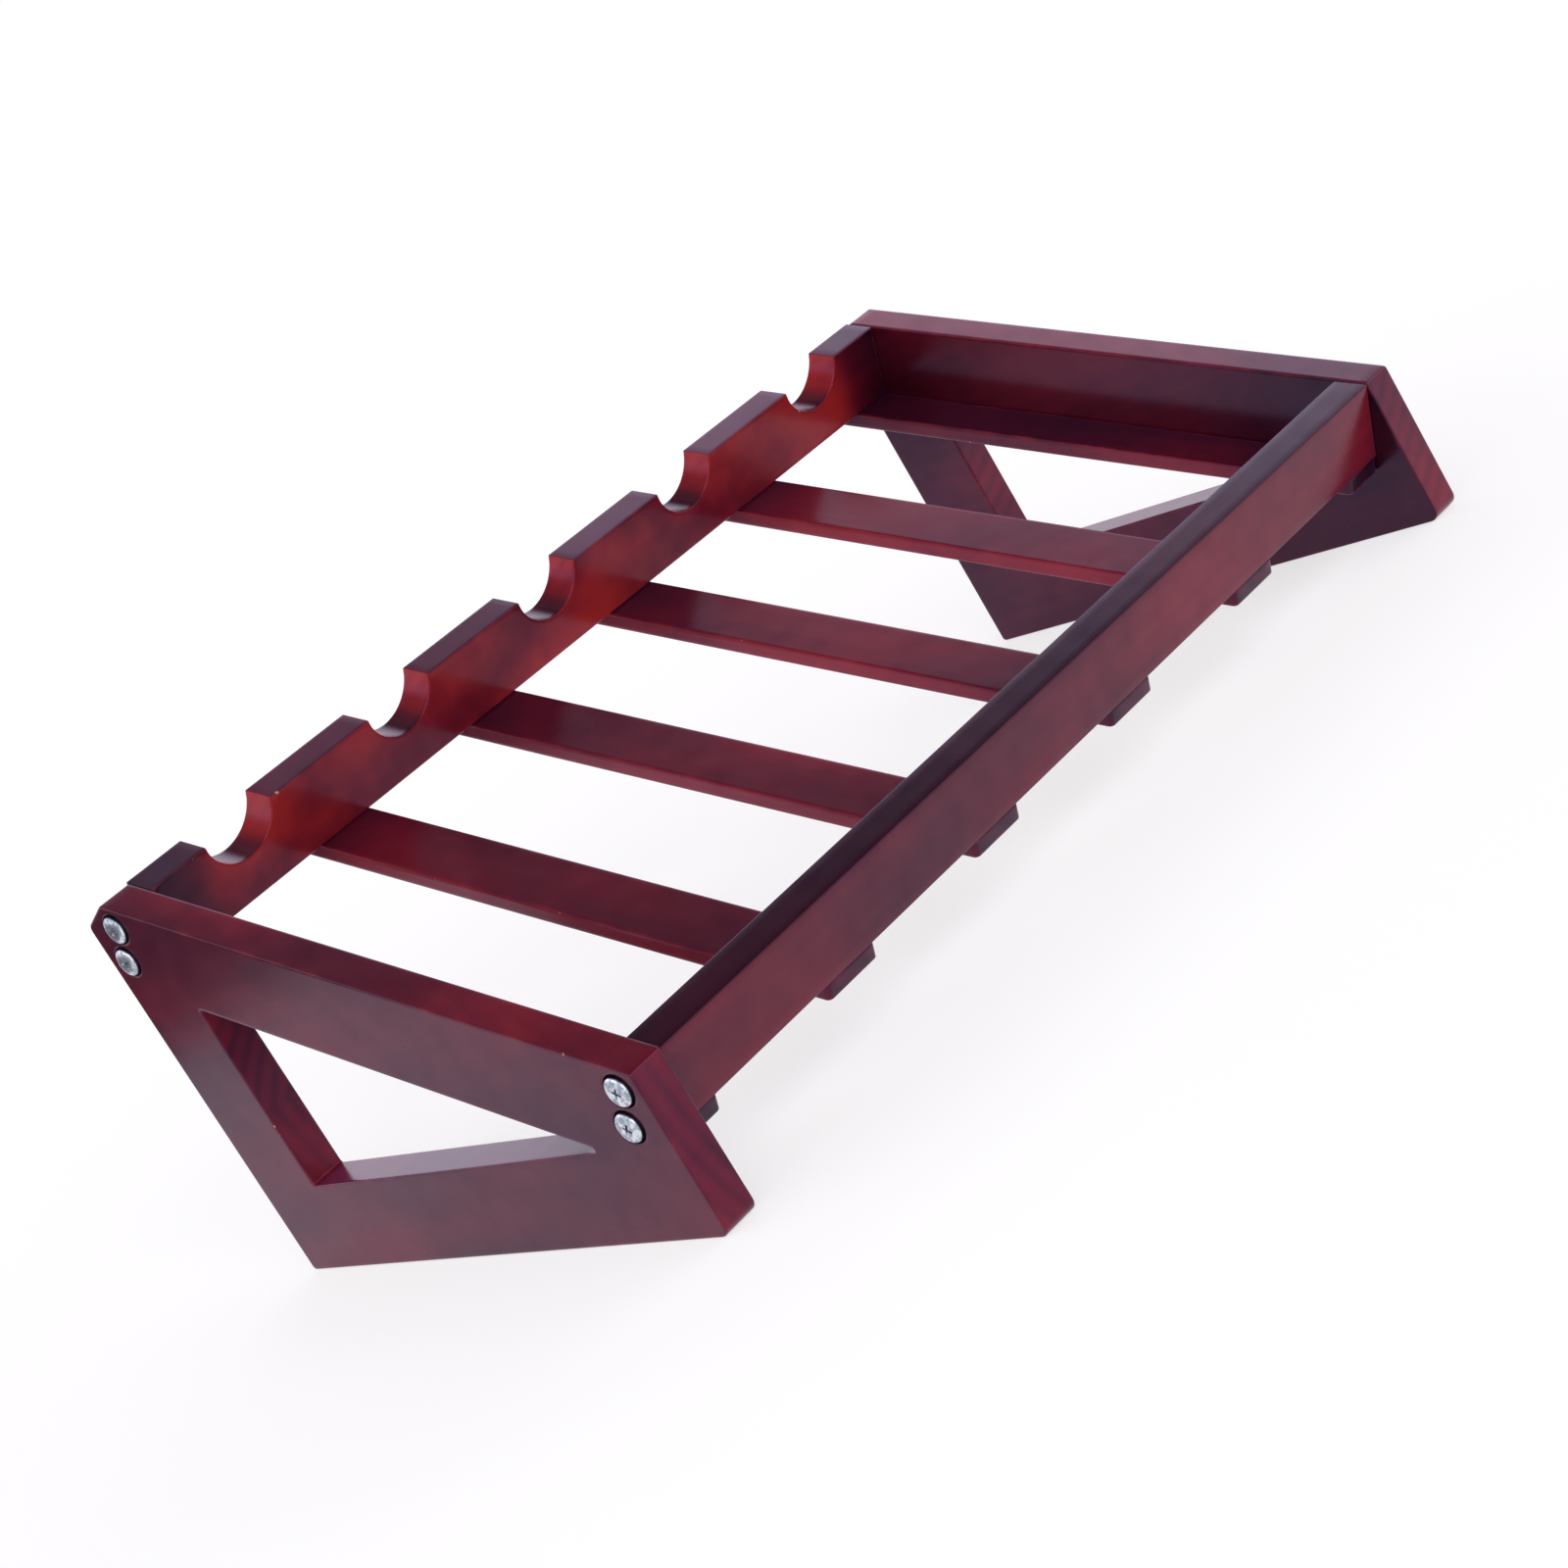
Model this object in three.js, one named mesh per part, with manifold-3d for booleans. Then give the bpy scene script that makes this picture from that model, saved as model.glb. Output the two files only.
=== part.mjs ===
// Five-place wooden display rack: two end frames, a notched rail, a plain rail, six slats and their screws.
// Millimetres, +Z up. X runs along the rails, -Y is the low front, +Y the high back.
// The origin is on the standing surface, under the middle of the rack.
import * as THREE from 'three';
import { mergeVertices } from 'three/addons/utils/BufferGeometryUtils.js';
import Module from 'manifold-3d';

const wasm = await Module();
wasm.setup();

// Driving dimensions
const frameThickness = 18;
const railThickness = 17;
const railLength = 530;            // between the inner faces of the end frames
const frameDepth = 295;            // front edge to back edge of an end frame
const frameFrontHeight = 74;       // upright front edge of an end frame
const slopeAngle = 23;             // degrees that the slat bed rises towards the back
const memberWidth = 42.5;          // width left all round the triangular opening
const tipCut = 19.5;               // length of sloping edge lost where the sharp back corner is cut off
const tipDrop = 15.5;              // length of upright back edge lost there
const frontCornerRadius = 5;
const backCornerRadius = 4;
const smallCornerRadius = 2;
const openingCornerRadius = 1.5;

const railWidth = 38;              // height of both rails, square to the slat bed
const plainRailSetDown = 0.6;      // the plain rail lies this far under the sloping edge
const notchedRailOverhang = 2.3;   // the notched rail stands this far past the end of the sloping edge
const notchCount = 5;
const notchPitch = 105.6;
const notchRadius = 20.6;
const notchCentreRise = 2.3;       // the notch circles are centred this far above the rail's top edge

const slatCount = 6;
const slatPitch = 103.2;
const slatWidth = 32.5;
const slatThickness = 8;
const firstSlatStart = -10.8;      // from the rail's end; the outer two slats are cut flush with the rails
const slatBackInset = 3;           // slats end this far inside the notched rail's outer face
const slatFrontInset = 0.4;        // and this far inside the plain rail's outer face
const slatCornerRadius = 2.5;

const screwSpacing = 17;           // between the two screws in a rail's end
const headRadius = 6.7;
const headHeight = 3.2;
const headStandOff = 1.9;          // the heads stand this far out of the end frame
const headOutline = [              // share of the head's radius, then depth below the crown
  [0, 0],
  [0.72, 0.25],
  [0.93, 0.7],
  [1, 1.4],
];
const counterboreRadius = 7.6;
const shankRadius = 2.5;
const screwReach = 34;             // length of an end screw inside the rail
const screwTip = { length: 5, radius: 0.4 };
const screwCross = { reach: 2.6, width: 1.1, depth: 1.7 };
const slatScrewHeadRadius = 3.3;
const slatScrewRadius = 1.5;
const slatScrewLength = 24;
const slatScrewOffset = 4.6;       // slat screws sit off the rails' middle lines, clear of the end screws
const slatScrewInset = 0.2;        // their heads lie this far inside the slats' undersides
const slatScrewTip = { length: 4, radius: 0.3 };
const slatScrewCross = { reach: 1.9, width: 0.7, depth: 1.2 };

const gap = 0.3;                   // left between touching pieces
const boreClearance = 0.3;         // between a screw and its hole, on the radius
const cutOvershoot = 2;            // cutters pass the faces they cut by this much
const spareHoleDepth = 1;          // a blind hole goes this far past its screw's point

// Facets round a full circle, or along one rounded corner
const boreSides = 20;
const headSides = 28;
const notchSides = 48;
const slatScrewSides = 16;
const frameCornerSegments = 6;
const slatCornerSegments = 5;
const weldTolerance = 1e-4;

const slope = THREE.MathUtils.degToRad(slopeAngle);
const alongSlope = new THREE.Vector2(Math.cos(slope), Math.sin(slope));

// Materials
const finish = (name, color, roughness, metalness) =>
  new THREE.MeshStandardMaterial({ name, color, roughness, metalness });
const stainedWood = finish('stained_wood', 0x4a1220, 0.38, 0);
const zincPlate = finish('zinc_plate', 0xc9ced6, 0.32, 1);

// Solids and meshes
function toSolid(geometry) {
  geometry.deleteAttribute('normal');
  geometry.deleteAttribute('uv');
  const merged = mergeVertices(geometry, weldTolerance);
  const mesh = new wasm.Mesh({
    numProp: 3,
    vertProperties: new Float32Array(merged.attributes.position.array),
    triVerts: new Uint32Array(merged.index.array),
  });
  return new wasm.Manifold(mesh);
}

function toGeometry(solid) {
  const mesh = solid.getMesh();
  const geometry = new THREE.BufferGeometry();
  geometry.setAttribute('position', new THREE.BufferAttribute(mesh.vertProperties, 3));
  geometry.setIndex(new THREE.BufferAttribute(mesh.triVerts, 1));
  return geometry;
}

function namedMesh(name, solid, material) {
  const mesh = new THREE.Mesh(toGeometry(solid), material);
  mesh.name = name;
  return mesh;
}

// Outline through corner points, each corner rounded to its own radius.
function roundedOutline(corners, PathType = THREE.Shape) {
  const path = new PathType();
  corners.forEach((corner, index) => {
    const before = corners[(index + corners.length - 1) % corners.length].at;
    const after = corners[(index + 1) % corners.length].at;
    const toBefore = before.clone().sub(corner.at).normalize();
    const toAfter = after.clone().sub(corner.at).normalize();
    const halfAngle = Math.acos(toBefore.dot(toAfter)) / 2;
    const setback = corner.radius / Math.tan(halfAngle);
    const start = corner.at.clone().addScaledVector(toBefore, setback);
    const end = corner.at.clone().addScaledVector(toAfter, setback);
    if (index === 0) path.moveTo(start.x, start.y);
    else path.lineTo(start.x, start.y);
    path.quadraticCurveTo(corner.at.x, corner.at.y, end.x, end.y);
  });
  path.closePath();
  return path;
}

// A shape drawn in (Y, Z) becomes a board that runs from X = 0 to X = thickness.
function boardAcrossX(shape, thickness) {
  const geometry = new THREE.ExtrudeGeometry(shape, {
    depth: thickness,
    bevelEnabled: false,
    curveSegments: frameCornerSegments,
  });
  const basis = new THREE.Matrix4().makeBasis(
    new THREE.Vector3(0, 1, 0),
    new THREE.Vector3(0, 0, 1),
    new THREE.Vector3(1, 0, 0),
  );
  return geometry.applyMatrix4(basis);
}

function cylinderBetween(from, to, radius, sides = boreSides) {
  const length = from.distanceTo(to);
  const direction = to.clone().sub(from).normalize();
  const turn = new THREE.Quaternion().setFromUnitVectors(new THREE.Vector3(0, 1, 0), direction);
  const middle = from.clone().lerp(to, 0.5);
  const geometry = new THREE.CylinderGeometry(radius, radius, length, sides);
  return geometry.applyQuaternion(turn).translate(middle.x, middle.y, middle.z);
}

// Places in the end frame's own plane, (Y, Z)
const frontY = -frameDepth / 2;
const backY = frameDepth / 2;
const frontTop = new THREE.Vector2(frontY, frameFrontHeight);
const sharpTip = frontTop.clone().addScaledVector(alongSlope, frameDepth / alongSlope.x);
const slopeEnd = sharpTip.clone().addScaledVector(alongSlope, -tipCut);
const uprightEnd = new THREE.Vector2(backY, sharpTip.y - tipDrop);

// Bed coordinates: a runs up the slope from the front top corner, b is square to the bed, upwards.
const bed = new THREE.Group();
bed.position.set(0, frontTop.x, frontTop.y);
bed.rotation.x = slope;
const inFramePlane = (a, b) => new THREE.Vector2(
  frontTop.x + a * alongSlope.x - b * alongSlope.y,
  frontTop.y + a * alongSlope.y + b * alongSlope.x,
);

const slopeEdgeLength = slopeEnd.distanceTo(frontTop);
const plainRailA = 0;
const notchedRailA = slopeEdgeLength + notchedRailOverhang - railThickness;
const bedTopB = -railWidth;        // underside of the rails, top of the slats
const screwRowsB = [-railWidth / 2 + screwSpacing / 2, -railWidth / 2 - screwSpacing / 2];
const railCentres = {
  front: plainRailA + railThickness / 2,
  back: notchedRailA + railThickness / 2,
};
const slatScrewLines = {
  front: railCentres.front + slatScrewOffset,
  back: railCentres.back - slatScrewOffset,
};

// End frames: one board each, with a triangular opening whose sides follow the outline.
function endFrameOutline() {
  const shape = roundedOutline([
    { at: new THREE.Vector2(frontY, 0), radius: frontCornerRadius },
    { at: new THREE.Vector2(backY, 0), radius: smallCornerRadius },
    { at: uprightEnd, radius: backCornerRadius },
    { at: slopeEnd, radius: smallCornerRadius },
    { at: frontTop, radius: smallCornerRadius },
  ]);
  const lowerEdgeAt = (y) => frameFrontHeight - memberWidth / alongSlope.x
    + (y - frontY) * Math.tan(slope);
  const openingBackY = backY - memberWidth;
  const openingFrontY = frontY + memberWidth;
  shape.holes.push(roundedOutline([
    { at: new THREE.Vector2(openingBackY, memberWidth), radius: openingCornerRadius },
    { at: new THREE.Vector2(openingFrontY, memberWidth), radius: openingCornerRadius },
    { at: new THREE.Vector2(openingBackY, lowerEdgeAt(openingBackY)), radius: openingCornerRadius },
  ], THREE.Path));
  return shape;
}

function endFrame(name, side) {
  const outerX = side * (railLength / 2 + gap + frameThickness);
  const innerX = side * (railLength / 2 + gap);
  const board = boardAcrossX(endFrameOutline(), frameThickness);
  board.translate(Math.min(outerX, innerX), 0, 0);
  let solid = toSolid(board);
  for (const centre of Object.values(railCentres)) {
    for (const row of screwRowsB) {
      const at = inFramePlane(centre, row);
      const point = (x) => new THREE.Vector3(x, at.x, at.y);
      const floorX = outerX - side * (headHeight - headStandOff + gap);
      const through = cylinderBetween(
        point(outerX + side * cutOvershoot),
        point(innerX - side * cutOvershoot),
        shankRadius + boreClearance,
      );
      const counterbore = cylinderBetween(
        point(outerX + side * cutOvershoot),
        point(floorX),
        counterboreRadius,
        headSides,
      );
      solid = solid.subtract(toSolid(through)).subtract(toSolid(counterbore));
    }
  }
  return namedMesh(name, solid, stainedWood);
}

// Rails, in bed coordinates. Each has two holes in each end and one above every slat.
function railHoles(solid, railName, slats) {
  const centreA = railCentres[railName];
  const slatLineA = slatScrewLines[railName];
  let drilled = solid;
  for (const side of [-1, 1]) {
    for (const row of screwRowsB) {
      const hole = cylinderBetween(
        new THREE.Vector3(side * (railLength / 2 + cutOvershoot), centreA, row),
        new THREE.Vector3(side * (railLength / 2 - screwReach - spareHoleDepth), centreA, row),
        shankRadius + boreClearance,
      );
      drilled = drilled.subtract(toSolid(hole));
    }
  }
  for (const slat of slats) {
    const hole = cylinderBetween(
      new THREE.Vector3(slat.middle, slatLineA, bedTopB - cutOvershoot),
      new THREE.Vector3(slat.middle, slatLineA, bedTopB - slatThickness + slatScrewLength + spareHoleDepth),
      slatScrewRadius + boreClearance,
      slatScrewSides,
    );
    drilled = drilled.subtract(toSolid(hole));
  }
  return drilled;
}

function railBoard(a, topB) {
  const height = topB - bedTopB;
  const box = new THREE.BoxGeometry(railLength, railThickness, height);
  return toSolid(box.translate(0, a + railThickness / 2, bedTopB + height / 2));
}

function notchedRail(slats) {
  let solid = railBoard(notchedRailA, 0);
  for (let index = 0; index < notchCount; index += 1) {
    const x = (index - (notchCount - 1) / 2) * notchPitch;
    const cutter = cylinderBetween(
      new THREE.Vector3(x, notchedRailA - cutOvershoot, notchCentreRise),
      new THREE.Vector3(x, notchedRailA + railThickness + cutOvershoot, notchCentreRise),
      notchRadius,
      notchSides,
    );
    solid = solid.subtract(toSolid(cutter));
  }
  return namedMesh('notched_rail', railHoles(solid, 'back', slats), stainedWood);
}

function plainRail(slats) {
  const solid = railBoard(plainRailA, -plainRailSetDown);
  return namedMesh('plain_rail', railHoles(solid, 'front', slats), stainedWood);
}

// Slats are set out at an even pitch under both rails; the outer two end flush with the rails' ends.
function slatLayout() {
  const slats = [];
  for (let index = 0; index < slatCount; index += 1) {
    const start = Math.max(0, firstSlatStart + index * slatPitch);
    const end = Math.min(railLength, firstSlatStart + index * slatPitch + slatWidth);
    slats.push({
      name: `slat_${index + 1}`,
      start: start - railLength / 2,
      end: end - railLength / 2,
      middle: (start + end) / 2 - railLength / 2,
    });
  }
  return slats;
}

function slatBoard(slat) {
  const frontA = plainRailA + slatFrontInset;
  const backA = notchedRailA + railThickness - slatBackInset;
  const outline = roundedOutline([
    { at: new THREE.Vector2(slat.start, frontA), radius: slatCornerRadius },
    { at: new THREE.Vector2(slat.end, frontA), radius: slatCornerRadius },
    { at: new THREE.Vector2(slat.end, backA), radius: slatCornerRadius },
    { at: new THREE.Vector2(slat.start, backA), radius: slatCornerRadius },
  ]);
  const underside = bedTopB - slatThickness;
  const board = new THREE.ExtrudeGeometry(outline, {
    depth: slatThickness - gap,
    bevelEnabled: false,
    curveSegments: slatCornerSegments,
  });
  let solid = toSolid(board.translate(0, 0, underside));
  for (const lineA of Object.values(slatScrewLines)) {
    const countersinkDepth = slatScrewHeadRadius - slatScrewRadius;
    const profile = [
      new THREE.Vector2(0, -cutOvershoot),
      new THREE.Vector2(slatScrewHeadRadius + boreClearance, -cutOvershoot),
      new THREE.Vector2(slatScrewHeadRadius + boreClearance, gap),
      new THREE.Vector2(slatScrewRadius + boreClearance, countersinkDepth + gap),
      new THREE.Vector2(slatScrewRadius + boreClearance, slatThickness + cutOvershoot),
      new THREE.Vector2(0, slatThickness + cutOvershoot),
    ];
    const hole = new THREE.LatheGeometry(profile, slatScrewSides);
    hole.rotateX(Math.PI / 2).translate(slat.middle, lineA, underside);
    solid = solid.subtract(toSolid(hole));
  }
  return namedMesh(slat.name, solid, stainedWood);
}

// A cross recess: two crossing bars, open at the head's face, where y = 0.
function crossRecess({ reach, width, depth }) {
  const bar = (x, z) => toSolid(new THREE.BoxGeometry(x, depth * 2, z));
  return bar(reach * 2, width).add(bar(width, reach * 2));
}

// End screws: a broad, slightly domed head, a shank and a point. The profile's axis is Y, head at y = 0.
function endScrew(name, side, centreA, row) {
  const length = headStandOff + frameThickness + screwReach;
  const profile = [
    ...headOutline.map(([share, depth]) => new THREE.Vector2(share * headRadius, depth)),
    new THREE.Vector2(headRadius, headHeight),
    new THREE.Vector2(shankRadius, headHeight),
    new THREE.Vector2(shankRadius, length - screwTip.length),
    new THREE.Vector2(screwTip.radius, length),
    new THREE.Vector2(0, length),
  ];
  const body = toSolid(new THREE.LatheGeometry(profile, headSides)).subtract(crossRecess(screwCross));
  const mesh = namedMesh(name, body, zincPlate);
  const outerFaceX = railLength / 2 + gap + frameThickness;
  mesh.rotation.z = side * Math.PI / 2;
  mesh.position.set(side * (outerFaceX + headStandOff), centreA, row);
  return mesh;
}

// Slat screws: small countersunk screws driven up through each slat into the rail above it.
function slatScrew(name, x, lineA) {
  const countersinkDepth = slatScrewHeadRadius - slatScrewRadius;
  const profile = [
    new THREE.Vector2(0, 0),
    new THREE.Vector2(slatScrewHeadRadius, 0),
    new THREE.Vector2(slatScrewHeadRadius, gap),
    new THREE.Vector2(slatScrewRadius, countersinkDepth + gap),
    new THREE.Vector2(slatScrewRadius, slatScrewLength - slatScrewTip.length),
    new THREE.Vector2(slatScrewTip.radius, slatScrewLength),
    new THREE.Vector2(0, slatScrewLength),
  ];
  const body = toSolid(new THREE.LatheGeometry(profile, slatScrewSides))
    .subtract(crossRecess(slatScrewCross));
  const mesh = namedMesh(name, body, zincPlate);
  mesh.rotation.x = Math.PI / 2;
  mesh.position.set(x, lineA, bedTopB - slatThickness + slatScrewInset);
  return mesh;
}

// Assembly
const rack = new THREE.Group();
rack.add(endFrame('end_frame_left', -1));
rack.add(endFrame('end_frame_right', 1));

const slats = slatLayout();
bed.add(notchedRail(slats));
bed.add(plainRail(slats));
for (const slat of slats) {
  bed.add(slatBoard(slat));
}

for (const [sideName, side] of [['left', -1], ['right', 1]]) {
  for (const [railName, centreA] of Object.entries(railCentres)) {
    screwRowsB.forEach((row, index) => {
      const rowName = index === 0 ? 'upper' : 'lower';
      bed.add(endScrew(`end_screw_${sideName}_${railName}_${rowName}`, side, centreA, row));
    });
  }
}

for (const [railName, lineA] of Object.entries(slatScrewLines)) {
  slats.forEach((slat, index) => {
    bed.add(slatScrew(`slat_screw_${railName}_${index + 1}`, slat.middle, lineA));
  });
}
rack.add(bed);

export default rack;
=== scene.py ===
# A low sloping rack of dark red stained wood: two end frames, two rails, six slats and their screws.
# Metres, +Z up, X along the rails, -Y the low front. Each section makes one piece or group of like pieces.
import math

import bmesh
import bpy
import numpy as np
from mathutils import Matrix, Quaternion, Vector
from mathutils.geometry import delaunay_2d_cdt


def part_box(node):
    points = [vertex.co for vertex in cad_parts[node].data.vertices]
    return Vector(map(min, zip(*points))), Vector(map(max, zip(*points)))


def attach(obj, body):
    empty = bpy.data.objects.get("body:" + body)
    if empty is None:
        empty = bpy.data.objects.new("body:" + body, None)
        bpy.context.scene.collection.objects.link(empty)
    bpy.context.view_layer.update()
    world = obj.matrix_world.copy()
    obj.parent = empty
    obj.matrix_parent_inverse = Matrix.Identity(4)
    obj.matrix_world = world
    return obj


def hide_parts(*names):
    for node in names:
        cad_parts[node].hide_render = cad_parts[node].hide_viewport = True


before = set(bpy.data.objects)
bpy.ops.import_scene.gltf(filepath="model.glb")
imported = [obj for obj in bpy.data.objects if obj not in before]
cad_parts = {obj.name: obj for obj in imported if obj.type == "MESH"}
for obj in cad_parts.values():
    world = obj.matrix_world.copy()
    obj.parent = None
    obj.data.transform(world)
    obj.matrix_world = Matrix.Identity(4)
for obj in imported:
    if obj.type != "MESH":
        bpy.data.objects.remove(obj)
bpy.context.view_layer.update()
scene = bpy.context.scene
MM = 0.001


# Camera: stands at the low front left and looks down a little, and leans over to the right.
# The lens is a short telephoto, and the shift sets the rack right of the lens's own axis.
look_azimuth = math.radians(35.797)
look_down = math.radians(12.375)
lean = math.radians(31.516)
aim = Vector((-0.07871, 0.06078, 0.11086))
aim_distance = 1.4845

look = Vector((
    math.sin(look_azimuth) * math.cos(look_down),
    math.cos(look_azimuth) * math.cos(look_down),
    -math.sin(look_down),
))
camera_data = bpy.data.cameras.new("camera")
camera_data.sensor_width = 36
camera_data.lens = 75.91
camera_data.shift_x = 0.1222
camera_data.clip_start = 0.05
camera_data.clip_end = 200
camera = bpy.data.objects.new("camera", camera_data)
scene.collection.objects.link(camera)
camera.location = aim - look * aim_distance
camera.rotation_mode = "QUATERNION"
camera.rotation_quaternion = look.to_track_quat("-Z", "Y") @ Quaternion((0, 0, 1), -lean)
scene.camera = camera


# End frames: one board each, glued up from two staves, with a triangular hand opening and the sharp
# back corner sawn off. The arrises are sanded round, and four screws per frame sit in counterbores.
frame_slope = math.radians(23)
front_height = 74 * MM
opening_margin = 42.5 * MM
tip_cut = 19.5 * MM
tip_drop = 15.5 * MM
corner_radii = {
    "front_foot": 5 * MM, "back_foot": 2 * MM, "upright": 4 * MM, "tip": 2 * MM, "front_top": 2 * MM}
opening_radius = 1.5 * MM
frame_arris = 0.7 * MM
counterbore_radius = 7.6 * MM
counterbore_depth = 1.6 * MM
counterbore_arris = 0.35 * MM
screw_hole_radius = 2.8 * MM
stave_joint_height = 80.6 * MM
outline_spacing = 5 * MM
fill_spacing = 8 * MM
arris_fade = 1.4 * MM
support_insets = (1.2 * MM, 3.5 * MM)
arris_steps = 4
corner_step = math.radians(18)
grid_seed = 11
# Painted shade on the frames' inner faces beside both rails and near the low front rail; the broad faces are
# also darker than the edges.
frame_soak_all = 0.03
frame_broad_face_darkening = 0.12
frame_shade_by_rails = 0.16
frame_shade_under_rail = 0.16
rail_shade_reach = 35 * MM
under_rail_reach = 45 * MM


class Value:
    """One socket of a node tree. Sums on it add Math nodes."""

    def __init__(self, graph, socket):
        self.graph = graph
        self.socket = socket

    def math(self, operation, *others, first=True):
        terms = [self, *others] if first else [*others, self]
        return self.graph.value("ShaderNodeMath", {"operation": operation}, dict(enumerate(terms)))

    def __add__(self, other): return self.math("ADD", other)
    def __radd__(self, other): return self.math("ADD", other)
    def __sub__(self, other): return self.math("SUBTRACT", other)
    def __rsub__(self, other): return self.math("SUBTRACT", other, first=False)
    def __mul__(self, other): return self.math("MULTIPLY", other)
    def __rmul__(self, other): return self.math("MULTIPLY", other)
    def __truediv__(self, other): return self.math("DIVIDE", other)
    def __rtruediv__(self, other): return self.math("DIVIDE", other, first=False)
    def __mod__(self, other): return self.math("FLOORED_MODULO", other)
    def __pow__(self, other): return self.math("POWER", other)


class Graph:
    """A node tree that is filled one node at a time."""

    def __init__(self, tree):
        self.tree = tree

    def add(self, kind, settings=None, inputs=None):
        node = self.tree.nodes.new(kind)
        for name, setting in (settings or {}).items():
            if name == "stops":
                ramp = node.color_ramp.elements
                while len(ramp) < len(setting):
                    ramp.new(1)
                for element, (position, colour) in zip(ramp, setting):
                    element.position = position
                    element.color = (*colour, 1)
            else:
                setattr(node, name, setting)
        for name, entry in (inputs or {}).items():
            if isinstance(entry, Value):
                self.tree.links.new(entry.socket, node.inputs[name])
            else:
                node.inputs[name].default_value = entry
        return node

    def value(self, kind, settings=None, inputs=None, output=0):
        return Value(self, self.add(kind, settings, inputs).outputs[output])

    def smooth(self, value, low, high, to_low=0.0, to_high=1.0):
        ends = {"From Min": low, "From Max": high, "To Min": to_low, "To Max": to_high}
        return self.value(
            "ShaderNodeMapRange", {"interpolation_type": "SMOOTHSTEP"}, {"Value": value, **ends})

    def noise(self, where, scale, stretch=(1, 1, 1), detail=2.0, roughness=0.5):
        drawn = self.value(
            "ShaderNodeVectorMath", {"operation": "MULTIPLY"}, {0: where, 1: stretch})
        return self.value(
            "ShaderNodeTexNoise", None,
            {"Vector": drawn, "Scale": scale, "Detail": detail, "Roughness": roughness}, "Fac")

    def blend(self, factor, first, second):
        return self.value(
            "ShaderNodeMix", {"data_type": "RGBA"}, {0: factor, 6: first, 7: second}, 2)


def new_finish(name):
    material = bpy.data.materials.new(name)
    material.use_nodes = True
    material.node_tree.nodes.clear()
    return material, Graph(material.node_tree)


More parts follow.
